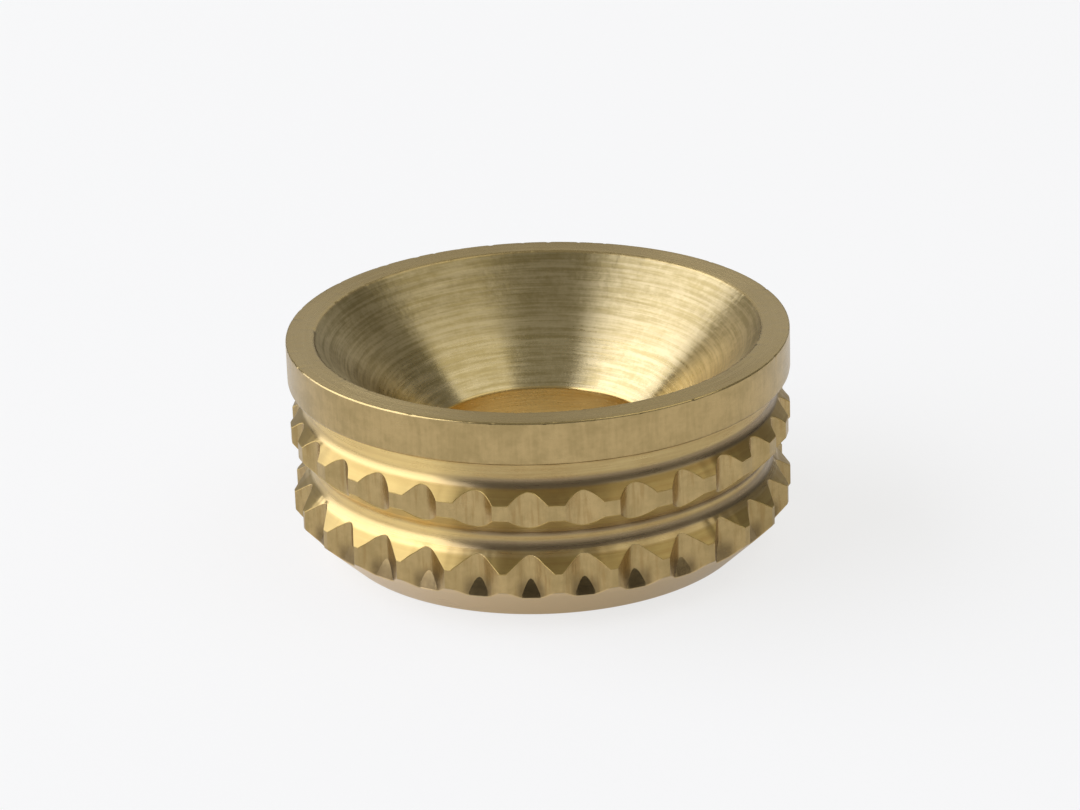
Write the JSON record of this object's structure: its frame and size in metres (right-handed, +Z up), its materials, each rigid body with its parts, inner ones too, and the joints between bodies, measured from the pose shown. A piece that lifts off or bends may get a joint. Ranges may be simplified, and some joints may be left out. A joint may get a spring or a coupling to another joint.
{
  "type": "screw cup socket",
  "caption": "Turned brass cup with a countersunk mouth over a straight bore, held flush in a hole by its knurled rings, to seat a countersunk screw head.",
  "frame": {"origin": "centre of the flat base that the cup stands on", "axes": "+Z up the cup's axis and out of the countersunk mouth, -Y towards the front view, +X to the right of it"},
  "size_m": [0.0126, 0.0126, 0.0055],
  "materials": {
    "turned_brass": "bright turned brass, uncoated, with fine lathe marks"
  },
  "bodies": {
    "root": {"screw_cup": "turned_brass"}
  },
  "joints": []
}
